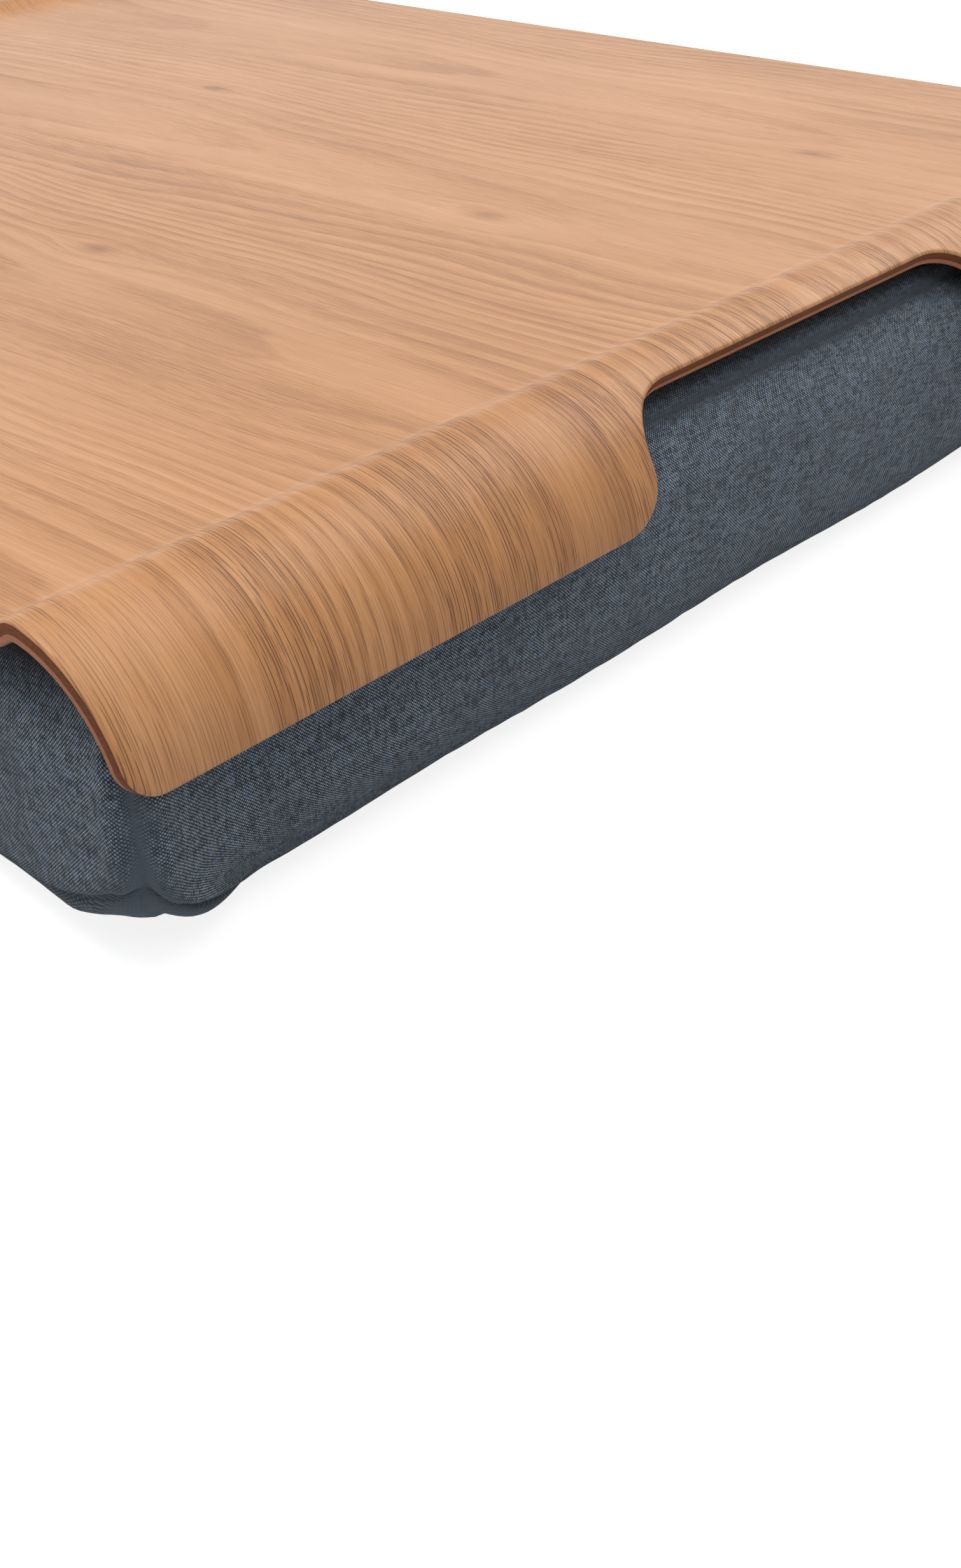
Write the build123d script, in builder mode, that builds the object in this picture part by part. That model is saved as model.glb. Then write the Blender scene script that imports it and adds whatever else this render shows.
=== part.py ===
from build123d import *
from math import acos, asin, atan2, cos, degrees, radians, sin
import os

# Lap tray with cushion: a moulded plywood tray, rolled down at its two short
# ends with a finger cut-out in each roll, held by hook and loop patches on a
# boxed cushion filled with beads, whose cover opens by a zip at the back.
# X runs along the tray, Y across it, Z up. The origin is at the centre of the
# tray's outline, on the surface that the cushion rests on. Millimetres.

# Overall sizes
tray_length = 460.0
tray_width = 365.0
overall_height = 65.0
overrun = 5.0

# Plies, from the face down
face_veneer_thickness = 0.5
cross_ply_thickness = 0.85
core_ply_thickness = 0.9
back_veneer_thickness = 0.5
board_thickness = (
    face_veneer_thickness + 2 * cross_ply_thickness + core_ply_thickness + back_veneer_thickness
)

# Rolled end, as the face of the board: cove, straight rise, crest, roll
roll_radius = 26.0
roll_start_angle = 6.0
roll_end_angle = 83.0
crest_radius = 7.0
cove_radius = 8.0
rise_angle = 34.0
rise_length = 1.5
flap_corner_radius = 6.5

# Finger cut-out in each rolled end, laid out on the bent face
cutout_width = 120.0
cutout_ledge = 10.0
cutout_corner_radius = 16.0
cutout_foot_radius = 11.0
cutout_turn_steps = 7

# Hook and loop patches
patch_length = 90.0
patch_width = 20.0
hook_thickness = 1.0
loop_thickness = 1.0
patch_gap = 0.3
patch_edge_distance_x = 62.0
patch_edge_distance_y = 44.0

# Cushion cover, liner and fill
cushion_end_setback = 4.0
cushion_side_setback = 1.0
cushion_corner_radius = 9.0
cushion_draw_in = 4.5
cushion_base_round = 26.0
cushion_top_round = 17.0
base_round_steps = 6
top_round_steps = 5
inner_round_steps = 3
cover_thickness = 1.0
liner_thickness = 0.6
liner_side_gap = 3.4
soft_gap = 0.3
top_seam_drop = 2.7
bottom_seam_height = 13.0
bottom_seam_lift = 11.0
bottom_seam_lift_radius = 26.0

# Zip in the back of the cover
zip_end_margin = 76.0
zip_opening_height = 11.0
zip_centre_drop = 23.2
zip_tape_width = 6.4
zip_tape_thickness = 0.6
zip_tail_length = 17.0
zip_chain_width = 3.6
zip_chain_thickness = 1.4
zip_chain_groove = 0.5
zip_recess = 6.5
zip_stop_length = 3.0
slider_length = 9.0
slider_width = 7.0
slider_corner_radius = 1.8
slider_plate_thickness = 1.2
slider_gap = 0.3
bridge_length = 6.0
bridge_width = 1.6
bridge_thickness = 1.2
bridge_opening_height = 1.8
pull_length = 24.0
pull_width = 6.0
pull_thickness = 1.0
pull_window_length = 4.2
pull_window_width = 3.4
pull_end_radius = 2.4

# Heights and places that follow
crest_centre_height = overall_height - crest_radius
roll_centre_height = crest_centre_height - (roll_radius - crest_radius) * cos(radians(roll_start_angle))
roll_centre_x = tray_length / 2 - roll_radius * sin(radians(roll_end_angle))
crest_centre_x = roll_centre_x + (roll_radius - crest_radius) * sin(radians(roll_start_angle))
rise_top_x = crest_centre_x - crest_radius * sin(radians(rise_angle))
rise_top_height = crest_centre_height + crest_radius * cos(radians(rise_angle))
rise_foot_x = rise_top_x - rise_length * cos(radians(rise_angle))
rise_foot_height = rise_top_height - rise_length * sin(radians(rise_angle))
cove_centre_x = rise_foot_x - cove_radius * sin(radians(rise_angle))
cove_centre_height = rise_foot_height + cove_radius * cos(radians(rise_angle))
flat_height = cove_centre_height - cove_radius
underside_height = flat_height - board_thickness
roll_foot_height = roll_centre_height + roll_radius * cos(radians(roll_end_angle))
cutout_edge_x = crest_centre_x + cutout_ledge
cutout_angle = degrees(asin((cutout_edge_x - roll_centre_x) / roll_radius))
cutout_run = roll_radius * radians(roll_end_angle - cutout_angle)
cutter_depth = board_thickness + 2 * overrun
cutter_middle_radius = roll_radius - board_thickness / 2
cutter_step_clearance = board_thickness / 10
cushion_height = underside_height - hook_thickness - loop_thickness - patch_gap
top_seam_height = cushion_height - top_seam_drop
zip_centre_height = cushion_height - zip_centre_drop
cushion_length = tray_length - 2 * cushion_end_setback
cushion_width = tray_width - 2 * cushion_side_setback
zip_opening_length = cushion_length - 2 * zip_end_margin
zip_floor_y = cushion_width / 2 - zip_recess

os.makedirs("parts", exist_ok=True)


def polar_point(centre_x, centre_z, radius, angle):
    """A point on a circle, with the angle in degrees from straight up, clockwise."""
    return (centre_x + radius * sin(radians(angle)), centre_z + radius * cos(radians(angle)))


def board_points(depth):
    """The corner and mid points of the board's line at a depth under its face."""
    cove = cove_radius + depth
    crest = crest_radius - depth
    roll = roll_radius - depth
    crest_centre = (crest_centre_x, crest_centre_height)
    roll_centre = (roll_centre_x, roll_centre_height)
    cove_centre = (cove_centre_x, cove_centre_height)
    mid_roll_angle = (roll_start_angle + roll_end_angle) / 2
    mid_crest_angle = (roll_start_angle - rise_angle) / 2
    return {
        "flat_end": (cove_centre_x, flat_height - depth),
        "cove_mid": polar_point(*cove_centre, -cove, -rise_angle / 2),
        "cove_end": polar_point(*cove_centre, -cove, -rise_angle),
        "crest_start": polar_point(*crest_centre, crest, -rise_angle),
        "crest_mid": polar_point(*crest_centre, crest, mid_crest_angle),
        "roll_start": polar_point(*roll_centre, roll, roll_start_angle),
        "roll_mid": polar_point(*roll_centre, roll, mid_roll_angle),
        "roll_end": polar_point(*roll_centre, roll, roll_end_angle),
    }


def mirrored(point):
    """The same point at the other end of the tray."""
    return (-point[0], point[1])


def draw_board_line(depth):
    """Draws the board's line at a depth, from its left foot to its right foot."""
    right = board_points(depth)
    left = {name: mirrored(point) for name, point in right.items()}
    ThreePointArc(left["roll_end"], left["roll_mid"], left["roll_start"])
    ThreePointArc(left["roll_start"], left["crest_mid"], left["crest_start"])
    Line(left["crest_start"], left["cove_end"])
    ThreePointArc(left["cove_end"], left["cove_mid"], left["flat_end"])
    Line(left["flat_end"], right["flat_end"])
    ThreePointArc(right["flat_end"], right["cove_mid"], right["cove_end"])
    Line(right["cove_end"], right["crest_start"])
    ThreePointArc(right["crest_start"], right["crest_mid"], right["roll_start"])
    ThreePointArc(right["roll_start"], right["roll_mid"], right["roll_end"])


def draw_cushion_outline(half_length, half_width):
    """Draws a rounded oblong whose four sides are drawn in between its corners."""
    radius = cushion_corner_radius
    corner_step = radius * (1 - cos(radians(45)))
    near_x = half_length - radius
    near_y = half_width - radius
    mid_x = half_length - corner_step
    mid_y = half_width - corner_step
    ThreePointArc((-near_x, half_width), (0, half_width - cushion_draw_in), (near_x, half_width))
    ThreePointArc((near_x, half_width), (mid_x, mid_y), (half_length, near_y))
    ThreePointArc((half_length, near_y), (half_length - cushion_draw_in, 0), (half_length, -near_y))
    ThreePointArc((half_length, -near_y), (mid_x, -mid_y), (near_x, -half_width))
    ThreePointArc((near_x, -half_width), (0, cushion_draw_in - half_width), (-near_x, -half_width))
    ThreePointArc((-near_x, -half_width), (-mid_x, -mid_y), (-half_length, -near_y))
    ThreePointArc((-half_length, -near_y), (cushion_draw_in - half_length, 0), (-half_length, near_y))
    ThreePointArc((-half_length, near_y), (-mid_x, mid_y), (-near_x, half_width))


def cushion_levels(base_steps, top_steps):
    """The cushion's profile as heights and insets: a round base edge and a round top edge."""
    levels = []
    for step in range(base_steps + 1):
        angle = radians(90 * step / base_steps)
        levels.append((cushion_base_round * (1 - cos(angle)), cushion_base_round * (1 - sin(angle))))
    for step in range(top_steps + 1):
        angle = radians(90 * step / top_steps)
        levels.append(
            (cushion_height - cushion_top_round * (1 - sin(angle)), cushion_top_round * (1 - cos(angle)))
        )
    return levels


def cushion_form(side_inset, level_inset, base_steps=inner_round_steps, top_steps=inner_round_steps):
    """The cushion's form, stepped in at its sides and at its top and base."""
    inner_share = 1 - 2 * level_inset / cushion_height
    with BuildPart() as form:
        for level_height, level_step in cushion_levels(base_steps, top_steps):
            inset = side_inset + level_step
            with BuildSketch(Plane.XY.offset(level_inset + level_height * inner_share)):
                with BuildLine():
                    draw_cushion_outline(cushion_length / 2 - inset, cushion_width / 2 - inset)
                make_face()
        loft(ruled=True)
    return form.part


def finish(piece, name):
    """Labels a finished piece and writes its file."""
    piece.part.label = name
    export_step(piece.part, f"parts/{name}.step")
    print(name, "volume", round(piece.part.volume), "solids", len(piece.part.solids()))


def cutout_sections():
    """The cut-out's half widths, each with its distance from the ledge over the bent face."""
    turn = acos(max(0, 1 - cutout_run / (cutout_corner_radius + cutout_foot_radius)))
    ledge_half = cutout_width / 2 - cutout_corner_radius * sin(turn)
    foot_half = cutout_width / 2 + cutout_foot_radius * sin(turn)
    angles = [turn * step / cutout_turn_steps for step in range(cutout_turn_steps + 1)]
    corner = [
        (cutout_corner_radius * (1 - cos(angle)), ledge_half + cutout_corner_radius * sin(angle))
        for angle in angles
    ]
    foot = [
        (cutout_run - cutout_foot_radius * (1 - cos(angle)), foot_half - cutout_foot_radius * sin(angle))
        for angle in reversed(angles)
    ]
    if foot[0][0] - corner[-1][0] < cutter_step_clearance:
        foot = foot[1:]
    return corner + foot + [(cutout_run + overrun, foot_half)]


# What is trimmed off every ply: the two finger cut-outs, cut square to the bent
# board all along their edge, and the round corners of the flaps
with BuildPart() as trim_tool:
    for run, half_width in cutout_sections():
        cut_angle = radians(cutout_angle) + run / roll_radius
        section_plane = Plane(
            origin=(roll_centre_x, 0, roll_centre_height),
            x_dir=(sin(cut_angle), 0, cos(cut_angle)),
            z_dir=(cos(cut_angle), 0, -sin(cut_angle)),
        )
        with BuildSketch(section_plane):
            with Locations((cutter_middle_radius, 0)):
                Rectangle(cutter_depth, 2 * half_width)
    loft(ruled=True)
    mirror(about=Plane.YZ)
    with BuildSketch(Plane.YZ.offset(-tray_length / 2 - overrun)):
        for side in (-1, 1):
            corner_y = side * (tray_width - flap_corner_radius) / 2
            with Locations((corner_y, roll_foot_height + flap_corner_radius / 2)):
                Rectangle(flap_corner_radius, flap_corner_radius)
            with Locations((side * (tray_width / 2 - flap_corner_radius), roll_foot_height + flap_corner_radius)):
                Circle(flap_corner_radius, mode=Mode.SUBTRACT)
            with Locations((corner_y, roll_foot_height - overrun / 2)):
                Rectangle(flap_corner_radius, overrun)
    extrude(amount=tray_length + 2 * overrun)

# The five plies of the tray board
ply_stack = (
    ("face_veneer", face_veneer_thickness),
    ("upper_cross_ply", cross_ply_thickness),
    ("core_ply", core_ply_thickness),
    ("lower_cross_ply", cross_ply_thickness),
    ("back_veneer", back_veneer_thickness),
)
ply_depth = 0.0
for ply_name, ply_thickness in ply_stack:
    upper = board_points(ply_depth)
    lower = board_points(ply_depth + ply_thickness)
    with BuildPart() as ply:
        with BuildSketch(Plane.XZ):
            with BuildLine():
                draw_board_line(ply_depth)
                draw_board_line(ply_depth + ply_thickness)
                Line(upper["roll_end"], lower["roll_end"])
                Line(mirrored(upper["roll_end"]), mirrored(lower["roll_end"]))
            make_face()
        extrude(amount=tray_width / 2, both=True)
        add(trim_tool.part, mode=Mode.SUBTRACT)
    finish(ply, ply_name)
    ply_depth += ply_thickness

# Hook patches glued under the board, loop patches sewn on the cushion
patch_spacing_x = tray_length - 2 * patch_edge_distance_x - patch_width
patch_spacing_y = tray_width - 2 * patch_edge_distance_y - patch_length
for patch_name, patch_top, patch_thickness in (
    ("hook_patches", underside_height, hook_thickness),
    ("loop_patches", cushion_height + loop_thickness, loop_thickness),
):
    with BuildPart() as patches:
        with BuildSketch(Plane.XY.offset(patch_top)):
            with GridLocations(patch_spacing_x, patch_spacing_y, 2, 2):
                Rectangle(patch_width, patch_length)
        extrude(amount=-patch_thickness)
    finish(patches, patch_name)

# Where the cover's seams divide it: the bottom seam runs level along each side
# and sweeps up to the corners, where it meets the seam between the side panels
lift_run = (2 * bottom_seam_lift_radius * bottom_seam_lift - bottom_seam_lift**2) ** 0.5
lift_angle = atan2(lift_run, bottom_seam_lift_radius - bottom_seam_lift)
lift_mid_run = bottom_seam_lift_radius * sin(lift_angle / 2)
lift_mid_height = bottom_seam_height + bottom_seam_lift_radius * (1 - cos(lift_angle / 2))
lift_top_height = bottom_seam_height + bottom_seam_lift


def draw_seam_profile(reach):
    """Draws round the space under the bottom seam, as seen square to a side of this half length."""
    low_end = (reach - lift_run, bottom_seam_height)
    lift_mid = (reach - lift_run + lift_mid_run, lift_mid_height)
    lift_top = (reach, lift_top_height)
    outer_top = (reach + overrun, lift_top_height)
    outer_base = (reach + overrun, -overrun)
    Line(mirrored(low_end), low_end)
    ThreePointArc(low_end, lift_mid, lift_top)
    Polyline(lift_top, outer_top, outer_base, mirrored(outer_base), mirrored(outer_top), mirrored(lift_top))
    ThreePointArc(mirrored(lift_top), mirrored(lift_mid), mirrored(low_end))


with BuildPart() as bottom_region:
    with BuildSketch(Plane.XZ):
        with BuildLine():
            draw_seam_profile(cushion_length / 2)
        make_face()
    extrude(amount=cushion_width, both=True)
    with BuildSketch(Plane.YZ):
        with BuildLine():
            draw_seam_profile(cushion_width / 2)
        make_face()
    extrude(amount=cushion_length, both=True, mode=Mode.INTERSECT)

with BuildPart() as top_region:
    with BuildSketch(Plane.XY.offset(top_seam_height)):
        Rectangle(2 * cushion_length, 2 * cushion_width)
    extrude(amount=overall_height)

outer_form = cushion_form(0, 0, base_round_steps, top_round_steps)
cover_inner_form = cushion_form(cover_thickness, cover_thickness)

with BuildPart() as cover_top_panel:
    add(outer_form)
    add(cover_inner_form, mode=Mode.SUBTRACT)
    add(top_region.part, mode=Mode.INTERSECT)
finish(cover_top_panel, "cover_top_panel")

with BuildPart() as cover_bottom_panel:
    add(outer_form)
    add(cover_inner_form, mode=Mode.SUBTRACT)
    add(bottom_region.part, mode=Mode.INTERSECT)
finish(cover_bottom_panel, "cover_bottom_panel")

with BuildPart() as side_band:
    add(outer_form)
    add(cover_inner_form, mode=Mode.SUBTRACT)
    add(top_region.part, mode=Mode.SUBTRACT)
    add(bottom_region.part, mode=Mode.SUBTRACT)

# The slot in the back panel that the zip lies in
with BuildPart() as zip_slot:
    with BuildSketch(Plane.XZ.offset(-zip_floor_y)):
        with Locations((0, zip_centre_height)):
            RectangleRounded(zip_opening_length, zip_opening_height, cover_thickness)
    extrude(amount=-zip_recess - overrun)

# The four side panels meet at seams on the corners' diagonals
half_length = cushion_length / 2
half_width = cushion_width / 2
panel_depth = cushion_base_round + cover_thickness
front_wedge = (
    (-half_length - overrun, -half_width - overrun),
    (half_length + overrun, -half_width - overrun),
    (half_length - panel_depth, panel_depth - half_width),
    (panel_depth - half_length, panel_depth - half_width),
)
left_wedge = (
    (-half_length - overrun, half_width + overrun),
    (-half_length - overrun, -half_width - overrun),
    (panel_depth - half_length, panel_depth - half_width),
    (panel_depth - half_length, half_width - panel_depth),
)
for panel_name, wedge, side in (
    ("cover_front_panel", front_wedge, 1),
    ("cover_back_panel", front_wedge, -1),
    ("cover_left_panel", left_wedge, 1),
    ("cover_right_panel", left_wedge, -1),
):
    with BuildPart() as panel:
        add(side_band.part)
        with BuildSketch(Plane.XY):
            Polygon(*[(side * x, side * y) for x, y in wedge], align=None)
        extrude(amount=overall_height, mode=Mode.INTERSECT)
        if panel_name == "cover_back_panel":
            add(zip_slot.part, mode=Mode.SUBTRACT)
    finish(panel, panel_name)

# The liner bag and the beads in it
liner_side_inset = cover_thickness + liner_side_gap
liner_level_inset = cover_thickness + soft_gap
with BuildPart() as inner_liner:
    add(cushion_form(liner_side_inset, liner_level_inset))
    add(
        cushion_form(liner_side_inset + liner_thickness, liner_level_inset + liner_thickness),
        mode=Mode.SUBTRACT,
    )
finish(inner_liner, "inner_liner")

fill_side_inset = liner_side_inset + liner_thickness + soft_gap
fill_level_inset = liner_level_inset + liner_thickness + soft_gap
with BuildPart() as bead_fill:
    add(cushion_form(fill_side_inset, fill_level_inset))
finish(bead_fill, "bead_fill")

# The zip: two tapes sewn under the slot's edges, the chain and its end stops
tape_length = zip_opening_length - 2 * soft_gap
chain_left_x = zip_tail_length + zip_stop_length - tape_length / 2
chain_right_x = tape_length / 2 - zip_stop_length
chain_length = chain_right_x - chain_left_x
chain_centre_x = (chain_left_x + chain_right_x) / 2
chain_floor_y = zip_floor_y + zip_tape_thickness
chain_top_y = chain_floor_y + zip_chain_thickness

for tape_name, tape_side in (("zip_tape_upper", 1), ("zip_tape_lower", -1)):
    with BuildPart() as tape:
        with BuildSketch(Plane.XZ.offset(-zip_floor_y)):
            with Locations((0, zip_centre_height + tape_side * zip_tape_width / 2)):
                Rectangle(tape_length, zip_tape_width)
        extrude(amount=-zip_tape_thickness)
    finish(tape, tape_name)

with BuildPart() as zip_chain:
    with BuildSketch(Plane.XZ.offset(-chain_floor_y)):
        with Locations((chain_centre_x, zip_centre_height)):
            Rectangle(chain_length, zip_chain_width)
    extrude(amount=-zip_chain_thickness)
    with BuildSketch(Plane.XZ.offset(-chain_top_y)):
        with Locations((chain_centre_x, zip_centre_height)):
            Rectangle(chain_length, zip_chain_groove)
    extrude(amount=zip_chain_groove, mode=Mode.SUBTRACT)
finish(zip_chain, "zip_chain")

with BuildPart() as zip_end_stops:
    with BuildSketch(Plane.XZ.offset(-chain_floor_y)):
        for stop_x in (chain_left_x - zip_stop_length / 2, chain_right_x + zip_stop_length / 2):
            with Locations((stop_x, zip_centre_height)):
                Rectangle(zip_stop_length, zip_chain_width)
    extrude(amount=-zip_chain_thickness)
finish(zip_end_stops, "zip_end_stops")

# The slider straddles the chain, closed at the right end, with a bridge on it
slider_x = chain_right_x - slider_length / 2 - slider_gap
slider_open_x = chain_left_x + slider_length / 2 + slider_gap
slider_foot_y = chain_floor_y + slider_gap
plate_top_y = chain_top_y + slider_gap + slider_plate_thickness
bridge_height = bridge_opening_height + bridge_thickness
with BuildPart() as zip_slider:
    with BuildSketch(Plane.XZ.offset(-slider_foot_y)):
        with Locations((slider_x, zip_centre_height)):
            RectangleRounded(slider_length, slider_width, slider_corner_radius)
    extrude(amount=slider_foot_y - plate_top_y)
    with BuildSketch(Plane.XZ.offset(-slider_foot_y)):
        with Locations((slider_x, zip_centre_height)):
            Rectangle(slider_length, zip_chain_width + 2 * slider_gap)
    extrude(amount=-zip_chain_thickness, mode=Mode.SUBTRACT)
    with BuildSketch(Plane.XY.offset(zip_centre_height - bridge_width / 2)):
        with Locations((slider_x, plate_top_y + bridge_height / 2)):
            Rectangle(bridge_length, bridge_height)
        with Locations((slider_x, plate_top_y + bridge_opening_height / 2)):
            Rectangle(bridge_length - 2 * bridge_thickness, bridge_opening_height, mode=Mode.SUBTRACT)
    extrude(amount=bridge_width)
finish(zip_slider, "zip_slider")

# The pull tab's end bar lies under the bridge and turns there
pull_axis_y = plate_top_y + bridge_opening_height / 2
with BuildPart() as zip_pull:
    with BuildSketch(Plane.XZ.offset(-(pull_axis_y - pull_thickness / 2))):
        with Locations((slider_x - (pull_length - pull_thickness) / 2, zip_centre_height)):
            RectangleRounded(pull_length, pull_width, pull_end_radius)
        with Locations((slider_x - pull_thickness / 2 - pull_window_length / 2, zip_centre_height)):
            Rectangle(pull_window_length, pull_window_width, mode=Mode.SUBTRACT)
    extrude(amount=-pull_thickness)
finish(zip_pull, "zip_pull")

print("crest x", round(crest_centre_x, 2), "cut-out edge x", round(cutout_edge_x, 2))
print("flat height", round(flat_height, 2), "underside height", round(underside_height, 2))
print("roll foot height", round(roll_foot_height, 2), "cushion height", round(cushion_height, 2))
print("slider x", round(slider_x, 3), "travel", round(slider_x - slider_open_x, 3))
print("pull axis y", round(pull_axis_y, 3), "bridge top y", round(plate_top_y + bridge_height, 3))
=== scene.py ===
import bmesh
import bpy
import numpy as np
from mathutils import Matrix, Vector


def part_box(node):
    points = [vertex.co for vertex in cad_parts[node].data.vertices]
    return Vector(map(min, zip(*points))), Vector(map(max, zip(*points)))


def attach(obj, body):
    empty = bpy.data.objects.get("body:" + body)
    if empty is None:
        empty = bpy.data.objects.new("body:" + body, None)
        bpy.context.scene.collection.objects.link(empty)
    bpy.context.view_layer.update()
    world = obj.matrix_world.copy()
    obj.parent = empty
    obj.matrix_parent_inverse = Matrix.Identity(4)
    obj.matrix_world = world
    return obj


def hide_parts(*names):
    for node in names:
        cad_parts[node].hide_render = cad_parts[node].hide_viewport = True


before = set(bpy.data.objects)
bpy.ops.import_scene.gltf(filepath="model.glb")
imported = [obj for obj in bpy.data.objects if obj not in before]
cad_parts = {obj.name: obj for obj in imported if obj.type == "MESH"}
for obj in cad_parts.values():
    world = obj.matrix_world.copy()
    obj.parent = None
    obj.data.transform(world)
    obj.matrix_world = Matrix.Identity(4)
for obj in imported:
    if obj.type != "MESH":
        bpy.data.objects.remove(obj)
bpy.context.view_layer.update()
print("frame loaded")

# Mesh helpers


def pointNumbers(shape, closed=False):
    # point numbers in rows; a closed form has its first column again at the end
    index = np.arange(shape[0] * shape[1]).reshape(shape[:2])
    return np.hstack([index, index[:, :1]]) if closed else index


def stacked(*parts):
    # coordinates, each as wide as the widest, side by side in the last axis
    return np.stack(np.broadcast_arrays(*parts), axis=-1)


def bell(distance, width):
    # a bell curve: e to the less square of the distance by its width
    return np.exp(-(distance / width) ** 2)


def gridFaces(index):
    # a grid of point numbers becomes quads that share its rows and columns
    return stacked(index[:-1, :-1], index[1:, :-1], index[1:, 1:], index[:-1, 1:]).reshape(-1, 4)


def cornerPairs(left, right):
    # what the four corners of each quad hold, from the values of its left and its right column
    return np.stack([left[:-1], left[1:], right[1:], right[:-1]], axis=2)


def openEdges(faces):
    # the directed edges of quads whose opposite isn't used by another quad
    starts = faces.ravel()
    ends = np.roll(faces, -1, axis=1).ravel()
    count = int(faces.max()) + 1
    lone = ~np.isin(starts * count + ends, ends * count + starts)
    return starts[lone], ends[lone]


def addMesh(name, points, faces, material, uv=None, uvName="weave", sharpAngle=0.6):
    # points in rows and quads in rows become one object; uv holds a pair for each quad corner
    faces = np.asarray(faces, dtype=np.int32)
    mesh = bpy.data.meshes.new(name)
    mesh.vertices.add(len(points))
    mesh.vertices.foreach_set("co", np.asarray(points, dtype=np.float32).ravel())
    mesh.loops.add(faces.size)
    mesh.loops.foreach_set("vertex_index", faces.ravel())
    mesh.polygons.add(len(faces))
    mesh.polygons.foreach_set("loop_start", np.arange(0, faces.size, faces.shape[1], dtype=np.int32))
    mesh.update(calc_edges=True)
    if uv is not None:
        layer = mesh.uv_layers.new(name=uvName)
        layer.data.foreach_set("uv", np.asarray(uv, dtype=np.float32).ravel())
    mesh.validate()
    mesh.shade_smooth()
    mesh.set_sharp_from_angle(angle=sharpAngle)
    mesh.materials.append(material)
    piece = bpy.data.objects.new(name, mesh)
    bpy.context.scene.collection.objects.link(piece)
    return piece


def place(piece, body, slotName, *replaced):
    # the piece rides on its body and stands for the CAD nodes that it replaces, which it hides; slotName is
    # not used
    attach(piece, body)
    if replaced:
        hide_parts(*replaced)


# Material helpers: a value is a plain number or colour, or the output of a node


def treeOf(*values):
    # the node tree of the first value that comes from a node
    return next(value.id_data for value in values if isinstance(value, bpy.types.NodeSocket))


def wire(socket, value):
    # a socket takes either another node's output or a plain value
    if isinstance(value, bpy.types.NodeSocket):
        value.id_data.links.new(value, socket)
    elif value is not None:
        socket.default_value = value


def setInputs(node, inputs):
    # the inputs of a node, by name or number
    for key, value in inputs.items():
        wire(node.inputs[key], value)


def addNode(tree, kind, inputs, output=0, **settings):
    # one node with its settings and inputs, of which the named output comes back
    node = tree.nodes.new("ShaderNode" + kind)
    for key, value in settings.items():
        setattr(node, key, value)
    setInputs(node, inputs)
    return node.outputs[output]


def emptyTree(owner):
    # the cleared node tree of a material or a world
    owner.use_nodes = True
    owner.node_tree.nodes.clear()
    return owner.node_tree


def startMaterial(name):
    # an empty node tree with one Principled shader wired to the output
    material = bpy.data.materials.new(name)
    tree = emptyTree(material)
    surface = addNode(tree, "BsdfPrincipled", {}, "BSDF")
    wire(tree.nodes.new("ShaderNodeOutputMaterial").inputs["Surface"], surface)
    return material, tree, surface.node


def calc(operation, *values):
    # one Math node
    return addNode(treeOf(*values), "Math", dict(enumerate(values)), operation=operation)


def combine(operation, first, *others):
    # the values taken together from left to right
    for other in others:
        first = calc(operation, first, other)
    return first


def add(*values):
    # a sum
    return combine("ADD", *values)


def times(*values):
    # a product
    return combine("MULTIPLY", *values)


def less(first, second):
    # a difference
    return calc("SUBTRACT", first, second)


def linear(value, slope, start):
    # the slope times the value, and the start
    return calc("MULTIPLY_ADD", value, slope, start)


def swing(value, weight, middle=0.5):
    # how far the value is from its middle, times a weight
    return times(less(value, middle), weight)


def split(vector):
    # a vector's three numbers
    return addNode(vector.id_data, "SeparateXYZ", {0: vector}).node.outputs


def join(x, y, z=0.0):
    # three numbers as one vector
    return addNode(treeOf(x, y, z), "CombineXYZ", {0: x, 1: y, 2: z})


def uvCoords(tree, uvName):
    # the named UV map as separate numbers along and across, in metres
    return split(addNode(tree, "UVMap", {}, uv_map=uvName))[:2]


def objectCoords(tree):
    # the Object coordinates, whole and split
    vector = addNode(tree, "TexCoord", {}, "Object")
    return vector, split(vector)


def noise(vector, scale=1.0, detail=2.0, roughness=0.5, distortion=0.0):
    # smooth noise, from 0 to 1
    values = {"Scale": scale, "Detail": detail, "Roughness": roughness, "Distortion": distortion}
    return addNode(vector.id_data, "TexNoise", {"Vector": vector, **values}, "Fac")


def speck(x, y):
    # one random number for each whole-numbered place
    return addNode(treeOf(x, y), "TexWhiteNoise", {"Vector": join(x, y)}, "Value", noise_dimensions="2D")


def fade(value, low, high, toLow=0.0, toHigh=1.0):
    # a smooth step of the value between two limits
    inputs = {"Value": value, "From Min": low, "From Max": high, "To Min": toLow, "To Max": toHigh}
    return addNode(value.id_data, "MapRange", inputs, "Result", interpolation_type="SMOOTHSTEP")


def blendColour(amount, first, second, mode="MIX"):
    # one colour over another
    under, over = ((*value, 1.0) if isinstance(value, tuple) else value for value in (first, second))
    inputs = {0: amount, 6: under, 7: over}
    return addNode(treeOf(amount, under, over), "Mix", inputs, 2, data_type="RGBA", blend_type=mode)


def ramp(value, *stops):
    # a colour ramp of (place, colour) stops
    output = addNode(value.id_data, "ValToRGB", {0: value})
    band = output.node.color_ramp
    while len(band.elements) < len(stops):
        band.elements.new(0.5)
    for element, (spot, colour) in zip(band.elements, stops):
        element.position = spot
        element.color = (*colour, 1.0)
    return output


def bump(height, distance, strength, under=None):
    # a bump from a height between 0 and 1, over that distance in metres
    inputs = {"Strength": strength, "Distance": distance, "Height": height, "Normal": under}
    return addNode(height.id_data, "Bump", inputs)


def brighter(colour, factor):
    # a plain colour times a factor
    return tuple(factor * part for part in colour)


# Tray board: profile sizes in metres, the same as the CAD's

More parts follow.
